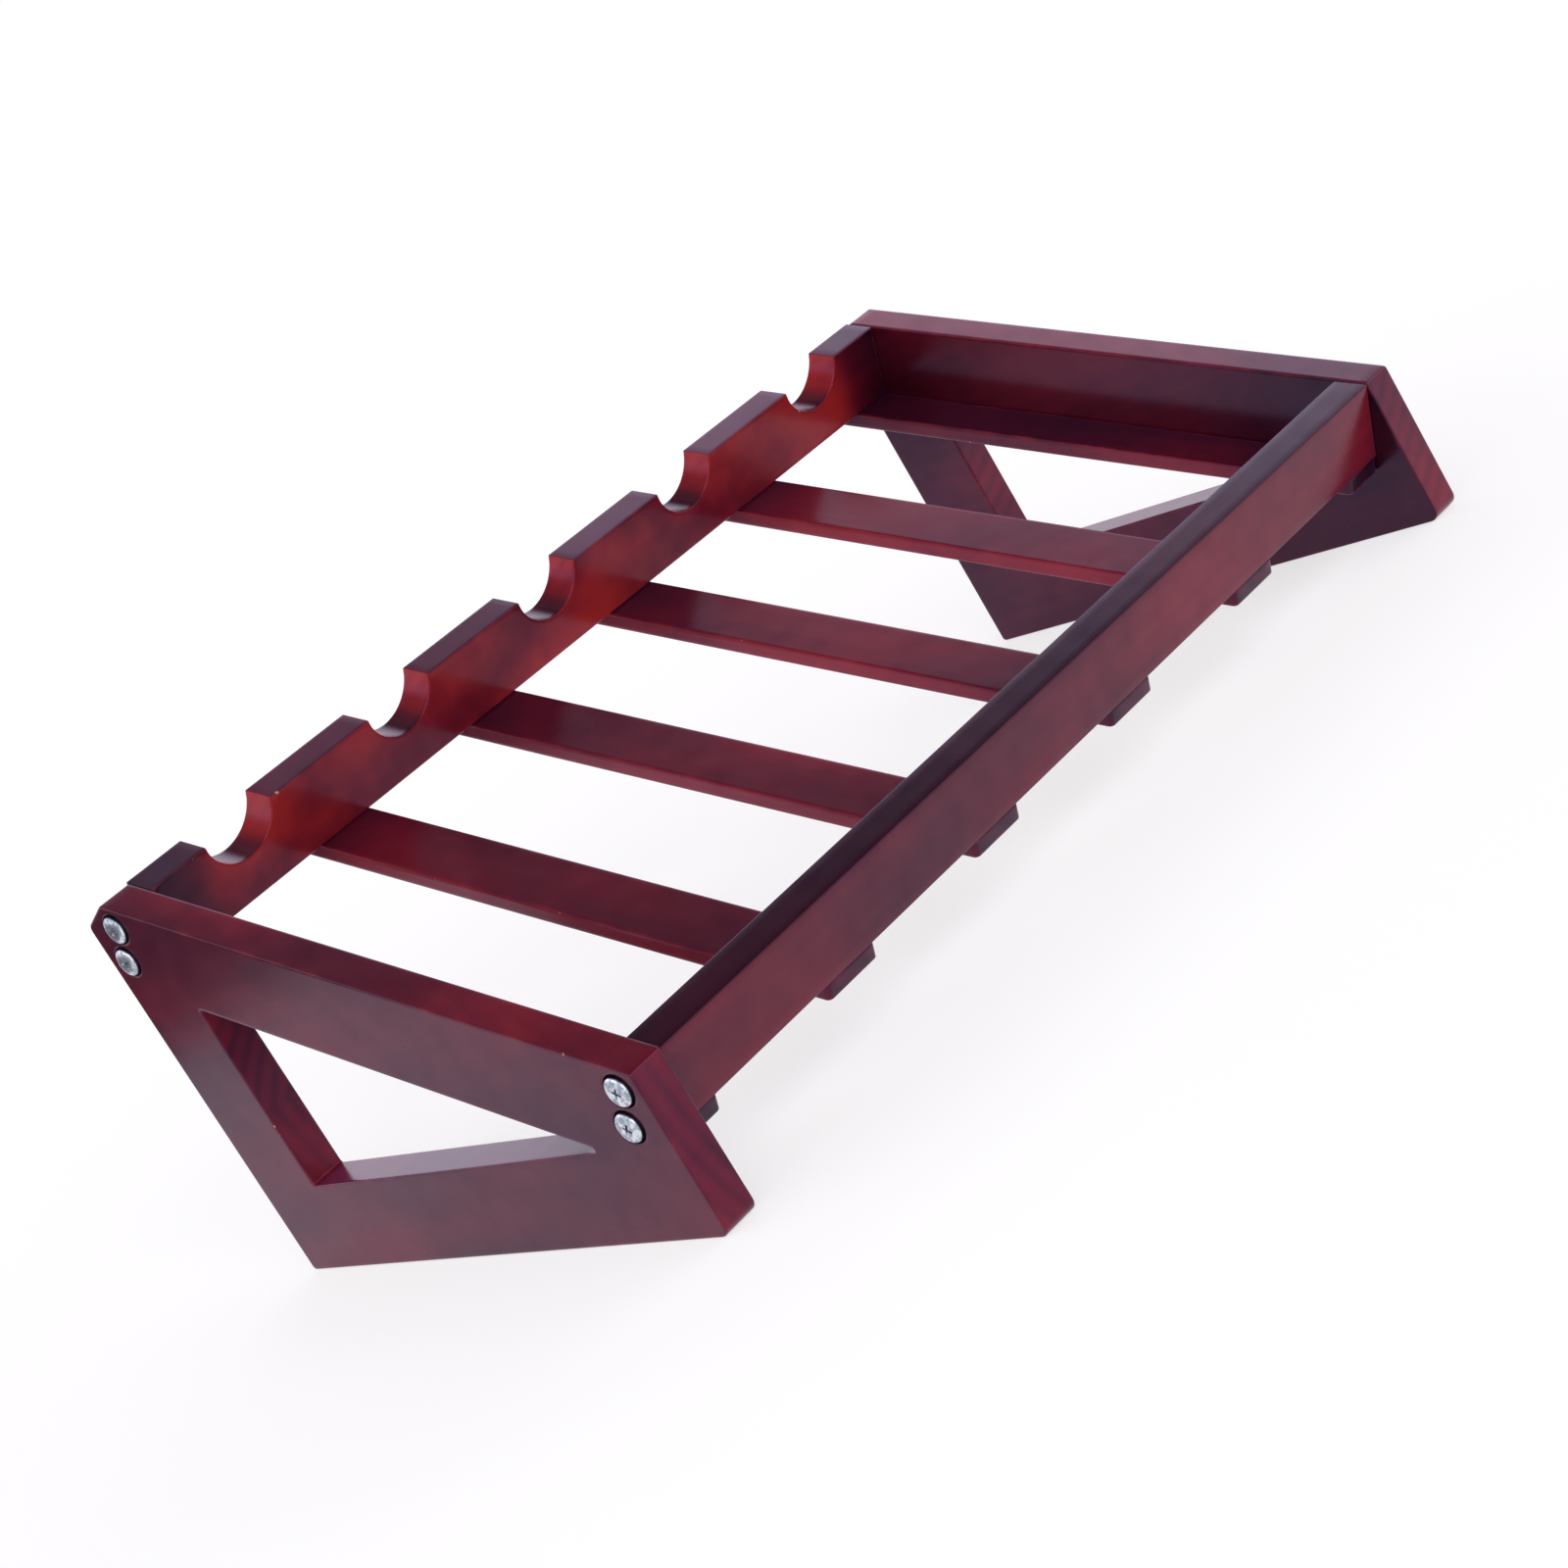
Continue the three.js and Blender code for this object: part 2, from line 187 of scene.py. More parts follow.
def stained_wood(name, turn=(0, 0, 0), joint_height=None, warmth=0.15, gloss=0.40):
    """Dark red stain under satin lacquer. turn brings the board's grain on to the X axis, warmth
    says how far the stain wears thin and shows orange-red, and gloss how well the lacquer built up."""
    material, graph = new_finish(name)
    place = graph.value("ShaderNodeTexCoord", output="Object")
    grain_place = graph.value(
        "ShaderNodeMapping", None, {"Vector": place, "Rotation": turn})
    board = graph.value("ShaderNodeAttribute", {"attribute_name": "board"}, output="Fac")
    arris = graph.value("ShaderNodeAttribute", {"attribute_name": "arris"}, output="Fac")
    end_grain = graph.value("ShaderNodeAttribute", {"attribute_name": "end_grain"}, output="Fac")

    # Each board, and each stave of a glued one, is cut from its own part of the tree.
    stave = board
    joint_line = None
    if joint_height is not None:
        height = graph.value("ShaderNodeSeparateXYZ", None, {0: place}, "Z")
        from_joint = height - joint_height
        stave = board + from_joint.math("GREATER_THAN", 0.0) * 1.7
        joint_line = 1 - graph.smooth(from_joint.math("ABSOLUTE"), 0.00006, 0.00022)
    grain_places = []
    for piece in (board, stave):
        moved = graph.value("ShaderNodeCombineXYZ", None, {
            0: piece * 0.83, 1: piece * 0.29, 2: piece * 0.41})
        grain_places.append(graph.value(
            "ShaderNodeVectorMath", {"operation": "ADD"}, {0: grain_place, 1: moved}))
    board_place, grain_place = grain_places

    # Growth rings run round a heart that lies outside the board, and waver along it.
    waver = graph.noise(grain_place, 9.0, (0.35, 1, 1), 1.0)
    cross = graph.add("ShaderNodeSeparateXYZ", None, {0: grain_place})
    across = Value(graph, cross.outputs["Y"]) + 0.045 + waver * 0.020
    through = Value(graph, cross.outputs["Z"]) - 0.130 + waver * 0.030
    from_heart = (across * across + through * through).math("SQRT")
    ring = (from_heart * (2 * math.pi / 0.0085)).math("SINE") * 0.5 + 0.5
    late_wood = ring ** 1.6

    fibre = graph.noise(grain_place, 1.0, (60, 1300, 1300), 3.0, 0.6)
    streak = graph.noise(grain_place, 1.0, (7, 190, 190), 2.0, 0.55)
    blotch = graph.noise(board_place, 1.0, (9, 20, 20), 1.0, 0.4)
    pooled_stain_and_rail_shade = graph.noise(place, 70.0, detail=1.5, roughness=0.5)

    # This attribute paints shade (darker) and light (lighter) into the stain, besides small even tone
    # shifts; the worn-thin orange is held back where it darkens.
    soak = graph.value("ShaderNodeAttribute", {"attribute_name": "soak"}, output="Fac")
    tone = (
        0.50 - soak + (blotch - 0.5) * 0.52 + (streak - 0.5) * 0.10 + (fibre - 0.5) * 0.05
        - late_wood * (0.025 + end_grain * 0.11) + (pooled_stain_and_rail_shade - 0.5) * 0.10
    )
    stain = graph.value("ShaderNodeValToRGB", {"stops": [
        (0.00, (0.013, 0.0008, 0.0026)),
        (0.25, (0.040, 0.0016, 0.0050)),
        (0.50, (0.095, 0.0034, 0.0082)),
        (0.75, (0.205, 0.0095, 0.0130)),
        (1.00, (0.420, 0.0330, 0.0210)),
    ]}, {0: tone})
    thin = graph.smooth(blotch + pooled_stain_and_rail_shade * 0.25, 0.45, 0.80)
    thin = thin * (1 - graph.smooth(soak, 0.0, 0.22)) * warmth
    stain = graph.blend(thin, stain, (0.26, 0.0140, 0.0095, 1))
    rubbed = graph.smooth(arris + (pooled_stain_and_rail_shade - 0.5) * 1.6, 0.80, 1.45) * 0.28
    colour = graph.blend(rubbed, stain, (0.250, 0.0180, 0.0150, 1))
    flakes = graph.noise(place, 260.0, detail=1.0)
    chip = graph.smooth(flakes, 0.765, 0.79) * graph.smooth(arris, 0.90, 0.99)
    colour = graph.blend(chip * 0.8, colour, (0.46, 0.26, 0.17, 1))
    if joint_line is not None:
        colour = graph.blend(joint_line * 0.35, colour, (0.020, 0.0012, 0.0040, 1))
    # Painted shade: where the edge weight is below zero, in the counterbores, the colour goes near black.
    colour = graph.blend(graph.smooth(0 - arris, 0.1, 0.6) * 0.92, colour, (0.006, 0.0008, 0.0015, 1))

    # Where the pale patch attribute is set, it is paler and duller.
    haze = graph.value("ShaderNodeAttribute", {"attribute_name": "haze"}, output="Fac")
    colour = graph.blend(haze, colour, (0.34, 0.19, 0.29, 1))

    # Lacquer follows the pores a little, and stands in soft waves.
    waves = graph.noise(place, 55.0, detail=0.0)
    peel = graph.noise(place, 520.0, detail=1.0)
    pores = graph.smooth(fibre, 0.25, 0.55)
    relief = waves * 0.00010 + peel * 0.0000040 + pores * 0.0000005
    bump = graph.value(
        "ShaderNodeBump", None, {"Strength": 1.0, "Distance": 1.0, "Height": relief}, "Normal")
    shader = graph.add("ShaderNodeBsdfPrincipled", None, {
        "Base Color": colour,
        "Roughness": 0.22 + (pooled_stain_and_rail_shade - 0.5) * 0.05 + end_grain * 0.10 + haze * 0.4,
        "Coat Weight": graph.smooth(pooled_stain_and_rail_shade, 0.15, 0.75, 0.02, 0.10),
        "Coat Roughness": 0.14,
        "Specular IOR Level": gloss,
        "Specular Tint": (0.64, 0.45, 1.0, 1),
        "Sheen Weight": 0.10,
        "Sheen Roughness": 0.35,
        "Sheen Tint": (0.55, 0.22, 1.0, 1),
        "Normal": bump,
    })
    graph.add("ShaderNodeOutputMaterial", None, {0: Value(graph, shader.outputs[0])})
    return material


def rounded(corners, spacing):
    """Outline with the wood on its left. corners are (u, v, radius).
    Gives its points, their outward normals, and how far each may be inset."""
    count = len(corners)
    points, normals, limits, ends = [], [], [], []
    at = [Vector(corner[:2]) for corner in corners]
    for index, (_, _, radius) in enumerate(corners):
        before = (at[index] - at[index - 1]).normalized()
        after = (at[(index + 1) % count] - at[index]).normalized()
        turn = math.atan2(before.cross(after), before.dot(after))
        setback = radius * math.tan(abs(turn) / 2)
        start, stop = at[index] - before * setback, at[index] + after * setback
        ends.append((start, stop, before, after, turn, radius))
    for index in range(count):
        start, stop, before, after, turn, radius = ends[index]
        if radius > 0 and abs(turn) > 1e-6:
            steps = max(2, math.ceil(abs(turn) / corner_step))
            side = math.copysign(1, turn)
            centre = start + Vector((-before.y, before.x)) * radius * side
            for step in range(steps + 1):
                angle = turn * step / steps
                travel = Vector((
                    before.x * math.cos(angle) - before.y * math.sin(angle),
                    before.x * math.sin(angle) + before.y * math.cos(angle),
                ))
                outward = Vector((travel.y, -travel.x))
                points.append(centre + outward * radius * side)
                normals.append(outward)
                limits.append(radius if turn > 0 else math.inf)
        else:
            travel = (before + after).normalized()
            points.append(start)
            normals.append(Vector((travel.y, -travel.x)))
            limits.append(math.inf)
        following = ends[(index + 1) % count][0]
        pieces = max(1, round((following - stop).length / spacing))
        for piece in range(1, pieces):
            points.append(stop.lerp(following, piece / pieces))
            normals.append(Vector((after.y, -after.x)))
            limits.append(math.inf)
    return points, normals, limits


def edge_profile(near_arris, far_arris, thickness):
    """(share of the arris taken off, depth, arris weight) from the near face to the far one."""
    rings = []
    for step in range(arris_steps + 1):
        angle = math.pi / 2 * step / arris_steps
        rings.append((near_arris * (1 - math.sin(angle)), near_arris * (1 - math.cos(angle)), 1.0))
    middle = thickness / 2
    wall = [near_arris + inset for inset in support_insets if near_arris + inset < middle - MM]
    wall += [middle] + [thickness - far_arris - inset for inset in reversed(support_insets)
                        if far_arris + inset < middle - MM]
    for depth in wall:
        from_arris = min(depth - near_arris, thickness - depth - far_arris)
        rings.append((0.0, depth, math.exp(-from_arris / arris_fade)))
    for step in reversed(range(arris_steps + 1)):
        angle = math.pi / 2 * step / arris_steps
        rings.append((
            far_arris * (1 - math.sin(angle)), thickness - far_arris * (1 - math.cos(angle)), 1.0))
    return rings


def board(name, contours, thickness, place, grain, number, soak=None, haze=None):
    """A board between two flat faces. Each contour is (outline, profile); the first one is the outer edge.
    place turns (u, v, depth) into a point of the rack, and grain is the board's length direction.
    The shading callback gives the painted shade and painted light on the stain, with small even tone shifts,
    from a vertex's outward normal and its place, and the pale callback how far it turns paler and duller
    there."""
    vertices, weights, faces = [], [], []
    near_loops, far_loops = [], []
    for (points, normals, limits), profile in contours:
        size = len(points)
        base = len(vertices)
        for inset, depth, weight in profile:
            for point, normal, limit in zip(points, normals, limits):
                held = min(inset, 0.9 * limit)
                at = point - normal * held
                vertices.append((at.x, at.y, depth))
                weights.append(weight)
        for ring in range(len(profile) - 1):
            for index in range(size):
                following = (index + 1) % size
                low, high = base + ring * size, base + (ring + 1) * size
                faces.append((low + index, low + following, high + following, high + index))
        near_loops.append([base + index for index in range(size)])
        last = base + (len(profile) - 1) * size
        far_loops.append([last + index for index in range(size)])
    draw = np.random.default_rng(grid_seed)
    for loops, depth in ((near_loops, 0.0), (far_loops, thickness)):
        edge_points = np.array([vertices[index][:2] for loop in loops for index in loop])
        starts, stops, inward = [], [], []
        for loop, (outline, _) in zip(loops, contours):
            ring = np.array([vertices[index][:2] for index in loop])
            starts.append(ring)
            stops.append(np.roll(ring, -1, axis=0))
            inward.append(-np.array([tuple(normal) for normal in outline[1]]))
        starts, stops = np.concatenate(starts), np.concatenate(stops)

        def distance(candidates):
            along = stops - starts
            offset = candidates[:, None, :] - starts[None]
            share = np.clip((offset * along).sum(2) / (along * along).sum(1), 0, 1)
            return np.linalg.norm(offset - share[..., None] * along, axis=2).min(1)

        def inside(candidates):
            x, y = candidates[:, 0, None], candidates[:, 1, None]
            crosses = (starts[:, 1] > y) != (stops[:, 1] > y)
            rise = np.where(stops[:, 1] == starts[:, 1], 1, stops[:, 1] - starts[:, 1])
            at_x = starts[:, 0] + (y - starts[:, 1]) / rise * (stops[:, 0] - starts[:, 0])
            return (crosses & (x < at_x)).sum(1) % 2 == 1

        fillers = []
        for inset in support_insets:
            candidates = np.concatenate([
                np.array([vertices[index][:2] for index in loop]) + way * inset
                for loop, way in zip(loops, inward)])
            candidates = candidates[inside(candidates)]
            fillers.append(candidates[distance(candidates) > 0.93 * inset])
        low, high = edge_points.min(0), edge_points.max(0)
        across = np.arange(low[0], high[0], fill_spacing)
        upward = np.arange(low[1], high[1], fill_spacing)
        grid = np.stack(np.meshgrid(across, upward), -1).reshape(-1, 2)
        grid = grid + draw.uniform(-0.2, 0.2, grid.shape) * fill_spacing
        grid = grid[inside(grid)]
        fillers.append(grid[distance(grid) > support_insets[-1] + fill_spacing * 0.4])
        added = np.concatenate(fillers)
        keep = np.ones(len(added), bool)
        order = np.lexsort((added[:, 1], added[:, 0]))
        for position, index in enumerate(order):
            if not keep[index]:
                continue
            for other in order[position + 1:]:
                if added[other, 0] - added[index, 0] > 0.5 * MM:
                    break
                if np.hypot(*(added[other] - added[index])) < 0.5 * MM:
                    keep[other] = False
        added = added[keep]

        first = len(vertices)
        vertices.extend((x, y, depth) for x, y in added)
        weights.extend(np.exp(-distance(added) / arris_fade))
        numbers = [index for loop in loops for index in loop] + list(range(first, first + len(added)))
        flat = [Vector(vertices[index][:2]) for index in numbers]
        edges, start = [], 0
        for loop in loops:
            edges += [(start + index, start + (index + 1) % len(loop)) for index in range(len(loop))]
            start += len(loop)
        _, _, triangles, sources, _, _ = delaunay_2d_cdt(flat, edges, [], 0, 1e-9)
        where = {new: numbers[old[0]] for new, old in enumerate(sources)}
        corners = [[where[index] for index in triangle] for triangle in triangles]
        middles = np.array([
            np.mean([vertices[index][:2] for index in triangle], axis=0) for triangle in corners])
        faces += [tuple(triangle) for triangle, kept in zip(corners, inside(middles)) if kept]

    mesh = bpy.data.meshes.new(name)
    mesh.from_pydata([place(*vertex) for vertex in vertices], [], faces)
    wear_and_bore_shade = mesh.attributes.new("arris", "FLOAT", "POINT")
    wear_and_bore_shade.data.foreach_set("value", np.array(weights, np.float32))
    editable = bmesh.new()
    editable.from_mesh(mesh)
    bmesh.ops.remove_doubles(editable, verts=editable.verts, dist=1e-7)
    bmesh.ops.recalc_face_normals(editable, faces=editable.faces)
    open_edges = sum(not edge.is_manifold for edge in editable.edges)
    if open_edges:
        raise RuntimeError(f"{name} has {open_edges} open edges")
    editable.to_mesh(mesh)
    editable.free()
    mesh.shade_smooth()
    facing = np.array([abs(vertex.normal.dot(grain)) for vertex in mesh.vertices], np.float32)
    mesh.attributes.new("end_grain", "FLOAT", "POINT").data.foreach_set("value", facing ** 3)
    pale_patches = [haze(vertex.normal, vertex.co) if haze else 0.0 for vertex in mesh.vertices]
    mesh.attributes.new("haze", "FLOAT", "POINT").data.foreach_set("value", np.array(pale_patches, np.float32))
    painted_shades_and_tones = [soak(vertex.normal, vertex.co) if soak else 0.0 for vertex in mesh.vertices]
    mesh.attributes.new("soak", "FLOAT", "POINT").data.foreach_set("value", np.array(painted_shades_and_tones, np.float32))
    numbered = mesh.attributes.new("board", "FLOAT", "POINT")
    numbered.data.foreach_set("value", np.full(len(mesh.vertices), number, np.float32))
    made = bpy.data.objects.new(name, mesh)
    scene.collection.objects.link(made)
    return made


def circle(u, v, radius, sides=36):
    """A round hole's outline, with the wood outside it."""
    angles = [-2 * math.pi * index / sides for index in range(sides)]
    around = [Vector((math.cos(angle), math.sin(angle))) for angle in angles]
    centre = Vector((u, v))
    return [centre + way * radius for way in around], [-way for way in around], [math.inf] * sides


frame_low, frame_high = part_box("end_frame_left")
front_y, back_y = frame_low.y, frame_high.y
frame_thickness = frame_high.x - frame_low.x
bed = Matrix.Translation((0, front_y, front_height)) @ Matrix.Rotation(frame_slope, 4, "X")
sharp_tip = Vector((back_y, front_height + (back_y - front_y) * math.tan(frame_slope)))
slope_end = sharp_tip - Vector((math.cos(frame_slope), math.sin(frame_slope))) * tip_cut
bed_length = (slope_end.x - front_y) / math.cos(frame_slope)
frame_outline = rounded([
    (front_y, 0, corner_radii["front_foot"]),
    (back_y, 0, corner_radii["back_foot"]),
    (back_y, sharp_tip.y - tip_drop, corner_radii["upright"]),
    (*slope_end, corner_radii["tip"]),
    (front_y, front_height, corner_radii["front_top"]),
], outline_spacing)
opening_back = back_y - opening_margin
opening_rise = (opening_back - front_y) * math.tan(frame_slope)
opening_top = front_height - opening_margin / math.cos(frame_slope) + opening_rise
opening_outline = rounded([
    (opening_back, opening_margin, opening_radius),
    (front_y + opening_margin, opening_margin, opening_radius),
    (opening_back, opening_top, opening_radius),
], outline_spacing)


def bed_box(node):
    """(lowest, highest) corner of a frame node along the sloping bed's own axes."""
    corners = np.array([bed.inverted() @ vertex.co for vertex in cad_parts[node].data.vertices])
    return Vector(corners.min(0)), Vector(corners.max(0))


rail_low, rail_high = bed_box("notched_rail")
rail_thickness = rail_high.y - rail_low.y
screw_points = []
for rail_end in ("front", "back"):
    for row in ("upper", "lower"):
        low, high = bed_box(f"end_screw_left_{rail_end}_{row}")
        screw_points.append(bed @ Vector((0, (low.y + high.y) / 2, (low.z + high.z) / 2)))
# Counterbore steps are (inset, depth, edge weight); weights below zero paint shade and turn the counterbore
# walls and floor near black.
counterbore_profile = [
    (counterbore_arris, 0, 0),
    (counterbore_arris * 0.3, counterbore_arris * 0.3, -0.3),
    (0, counterbore_arris, -0.8),
    (0, counterbore_depth, -1),
    (screw_hole_radius - counterbore_radius, counterbore_depth, -1),
    (screw_hole_radius - counterbore_radius, frame_thickness, -1),
]


def frame_painted_shade(normal, point):
    """Painted shade on the inner faces beside both rails, more near the low front rail; the broad faces
    darker than the edges, and all a little darker.
    """
    inner = max(0.0, -normal.x * math.copysign(1, point.x))
    along = (bed.inverted() @ point).y
    from_rails = min(along - rail_thickness, bed_length - rail_thickness - along)
    pooled_stain_and_rail_shade = math.exp(-max(0.0, from_rails) / rail_shade_reach)
    under_plain_rail = math.exp(-max(0.0, along - rail_thickness) / under_rail_reach)
    by_rails = frame_shade_by_rails * pooled_stain_and_rail_shade + frame_shade_under_rail * under_plain_rail
    return frame_broad_face_darkening * abs(normal.x) + frame_soak_all + by_rails * inner


frame_wood = stained_wood("stained_end_frames", (0, 0, -math.pi / 2), stave_joint_height)
for side_name, side, number in (("left", -1, 0.0), ("right", 1, 3.1)):
    low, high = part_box(f"end_frame_{side_name}")
    outer_x = low.x if side < 0 else high.x
    profile = edge_profile(frame_arris, frame_arris, frame_thickness)
    contours = [(frame_outline, profile), (opening_outline, profile)]
    for point in screw_points:
        contours.append((circle(point.y, point.z, counterbore_radius), counterbore_profile))
    end_frame = board(
        f"{side_name}_end_frame", contours, frame_thickness,
        lambda y, z, depth, x=outer_x, way=side: (x - way * depth, y, z),
        Vector((0, 1, 0)), number, frame_painted_shade)
    end_frame.data.materials.append(frame_wood)
    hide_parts(f"end_frame_{side_name}")
    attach(end_frame, "root")


# Notched rail: a planed board across the high back, with five round notches bored through its top
# edge. It lies square to the slope and is screwed through both end frames.
notch_count = 5
notch_pitch = 105.6 * MM
notch_radius = 20.6 * MM
notch_centre_rise = 2.3 * MM
notch_rim_radius = 0.7 * MM
notch_steps = 30
rail_end_radius = 0.5 * MM
rail_arris = 0.8 * MM
# Painted shade and light on the notched rail: darker on its top edge, notch floors and ends, lighter on the
# notch walls.
notched_top_shade = 0.27
notch_wall_light = -0.46
rail_end_shade = 0.45
rail_face_soak = -0.02
end_shade_from = 222 * MM
end_shade_width = 40 * MM
clear_of_ends = 250 * MM
pale_top_depth = 2 * MM
pale_top_left = 0.07
pale_top_more_right = 0.13
pale_top_step = 50 * MM
notched_wood = stained_wood("stained_notched_rail", (-frame_slope, 0, 0), warmth=0.70, gloss=0.24)

low, high = bed_box("notched_rail")
notch_half_width = math.sqrt(notch_radius ** 2 - notch_centre_rise ** 2)
corners = [
    (low.x, low.z, rail_end_radius), (high.x, low.z, rail_end_radius), (high.x, high.z, rail_end_radius)]
for index in reversed(range(notch_count)):
    centre_x = (index - (notch_count - 1) / 2) * notch_pitch
    reach = math.acos(notch_centre_rise / notch_radius)
    corners.append((centre_x + notch_half_width, high.z, notch_rim_radius))
    for step in range(2, notch_steps - 1):
        angle = reach * (1 - 2 * step / notch_steps)
        corners.append((
            centre_x + notch_radius * math.sin(angle),
            high.z + notch_centre_rise - notch_radius * math.cos(angle),
            0))
    corners.append((centre_x - notch_half_width, high.z, notch_rim_radius))
corners.append((low.x, high.z, rail_end_radius))
bed_up = Vector((0, -math.sin(frame_slope), math.cos(frame_slope)))


def notched_painted_light_and_shade(normal, point):
    """Painted shade along the top edge, on the notch floors and towards the ends, painted light on the notch
    walls, and a small even shift in tone.
    """
    upward = max(0.0, normal.dot(bed_up))
    sideways = abs(normal.x) if abs(point.x) < clear_of_ends else 0.0
    near_end = max(0.0, abs(point.x) - end_shade_from) / end_shade_width
    return notched_top_shade * upward + notch_wall_light * sideways ** 2 + rail_end_shade * near_end + rail_face_soak


def notched_pale_top(normal, point, rail_top=high.z):
    """Paler and duller along the top edge, most on its right half, and not in the notches."""
    if (bed.inverted() @ point).z < rail_top - pale_top_depth:
        return 0.0
    rightward = min(1.0, max(0.0, (point.x + pale_top_step) / (2 * pale_top_step)))
    return (pale_top_left + pale_top_more_right * rightward) * max(0.0, normal.dot(bed_up)) ** 4


notched_rail = board(
    "rail_with_notches",
    [(rounded(corners, outline_spacing), edge_profile(rail_arris, rail_arris, rail_thickness))],
    rail_thickness, lambda u, v, depth, start=low.y: bed @ Vector((u, start + depth, v)),
    Vector((1, 0, 0)), 1.3, notched_painted_light_and_shade, notched_pale_top)
notched_rail.data.materials.append(notched_wood)
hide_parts("notched_rail")
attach(notched_rail, "root")


# Plain rail: a planed board across the low front, the same size as the notched one. Its upper outer
# arris is rounded over more than the rest.
plain_top_outer_radius = 0.8 * MM
plain_radius = 0.6 * MM
plain_end_arris = 0.25 * MM
plain_rings = 90
end_zone = 2 * MM
# Painted shade on the plain rail: darker on its top edge and a little on its front face.
plain_top_shade = 0.42
plain_front_shade = 0.09
plain_face_soak = -0.02
low, high = bed_box("plain_rail")
plain_outline = rounded([
    (low.y, low.z, plain_radius),
    (high.y, low.z, plain_radius),
    (high.y, high.z, plain_radius),
    (low.y, high.z, plain_top_outer_radius),
], 4 * MM)
plain_length = high.x - low.x
end_rings = edge_profile(plain_end_arris, plain_end_arris, plain_length)
length_rings = [
    (0.0, plain_end_arris + (plain_length - 2 * plain_end_arris) * step / plain_rings, 0.0)
    for step in range(1, plain_rings)]
end_rings = sorted(
    [ring for ring in end_rings if ring[1] < end_zone or ring[1] > plain_length - end_zone] + length_rings,
    key=lambda ring: ring[1])


def plain_painted_shade(normal, point):
    """Painted shade along the top edge and a little on the front face, with a small even shift in tone."""
    outward = max(0.0, -normal.y) * (1 - max(0.0, normal.dot(bed_up)))
    upward = max(0.0, normal.dot(bed_up))
    return plain_top_shade * upward + plain_front_shade * outward + plain_face_soak


plain_rail = board(
    "plain_front_rail", [(plain_outline, end_rings)], plain_length,
    lambda u, v, depth, start=low.x: bed @ Vector((start + depth, u, v)),
    Vector((1, 0, 0)), 2.6, plain_painted_shade)
plain_rail.data.materials.append(stained_wood("stained_plain_rail", (-frame_slope, 0, 0), gloss=0.33))
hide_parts("plain_rail")
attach(plain_rail, "root")


# Slats: six thin boards under both rails, at an even pitch. The outer two are ripped narrower to lie
# flush against the end frames, and each is screwed up into both rails from below.
slat_arris = 0.8 * MM
slat_corner_radius = 2.5 * MM
slat_hole_radius = 1.8 * MM
slat_countersink_radius = 3.6 * MM
slat_countersink_depth = 2.1 * MM
slat_count = 6
# Painted light on the slats' sawn sides; painted shade at their ends against the rails, and on the outer two
# beside the frames.
slat_end_shade = 0.26
slat_end_reach = 30 * MM
slat_side_light = -0.19
outer_slat_shade = 0.20
slat_wood = stained_wood("stained_slats", (-frame_slope, 0, math.pi / 2))

slat_boxes = [bed_box(f"slat_{index + 1}") for index in range(slat_count)]
kinds = bpy.data.collections.new("slat_kinds")
slat_thickness = slat_boxes[0][1].z - slat_boxes[0][0].z
slat_profile = edge_profile(slat_arris, slat_arris, slat_thickness)
screw_lines = []
for row in ("front", "back"):
    low, high = bed_box(f"slat_screw_{row}_1")
    screw_lines.append((low.y + high.y) / 2)
sunk = slat_countersink_radius - slat_hole_radius
slat_hole_profile = [
    (0, 0, 0.3), (0, 0.3 * MM, 0.3), (-sunk, slat_countersink_depth, 0), (-sunk, slat_thickness, 0)]
slat_length = slat_boxes[0][1].y


def slat_painted_light_and_shade(normal, point):
    """Painted light on the sawn sides, and painted shade at the ends against the two rails."""
    from_ends = min(point.y - rail_thickness, slat_length - rail_thickness - point.y)
    return slat_end_shade * math.exp(-max(0.0, from_ends) / slat_end_reach) + slat_side_light * abs(normal.x)


# The outer two slats get extra painted shade, lying against the end frames.
for kind, source, against_frame in (
    ("a_left", 0, outer_slat_shade), ("b_full", 2, 0.0), ("c_right", slat_count - 1, outer_slat_shade),
):
    low, high = slat_boxes[source]
    half_width = (high.x - low.x) / 2
    outline = rounded([
        (-half_width, low.y, slat_corner_radius),
        (half_width, low.y, slat_corner_radius),
        (half_width, high.y, slat_corner_radius),
        (-half_width, high.y, slat_corner_radius),
    ], outline_spacing)
    contours = [(outline, slat_profile)]
    for line in screw_lines:
        contours.append((circle(0, line, slat_countersink_radius, 24), slat_hole_profile))
    slat = board(
        f"slat_{kind}", contours, slat_thickness,
        lambda u, v, depth, start=low.z: (u, v, start + depth), Vector((0, 1, 0)), 0.0,
        lambda normal, point, more=against_frame: slat_painted_light_and_shade(normal, point) + more)
    scene.collection.objects.unlink(slat)
    kinds.objects.link(slat)


def new_tree(name, sizes):
    """A geometry tree with named inputs, its inputs as values, and the socket identifiers by name."""
    tree = bpy.data.node_groups.new(name, "GeometryNodeTree")
    tree.interface.new_socket("Geometry", in_out="OUTPUT", socket_type="NodeSocketGeometry")
    identifiers = {}
    for label, kind in sizes.items():
        identifiers[label] = tree.interface.new_socket(
            label, in_out="INPUT", socket_type=f"NodeSocket{kind}").identifier
    graph = Graph(tree)
    entrance = graph.add("NodeGroupInput")
    return graph, {label: Value(graph, entrance.outputs[label]) for label in sizes}, identifiers


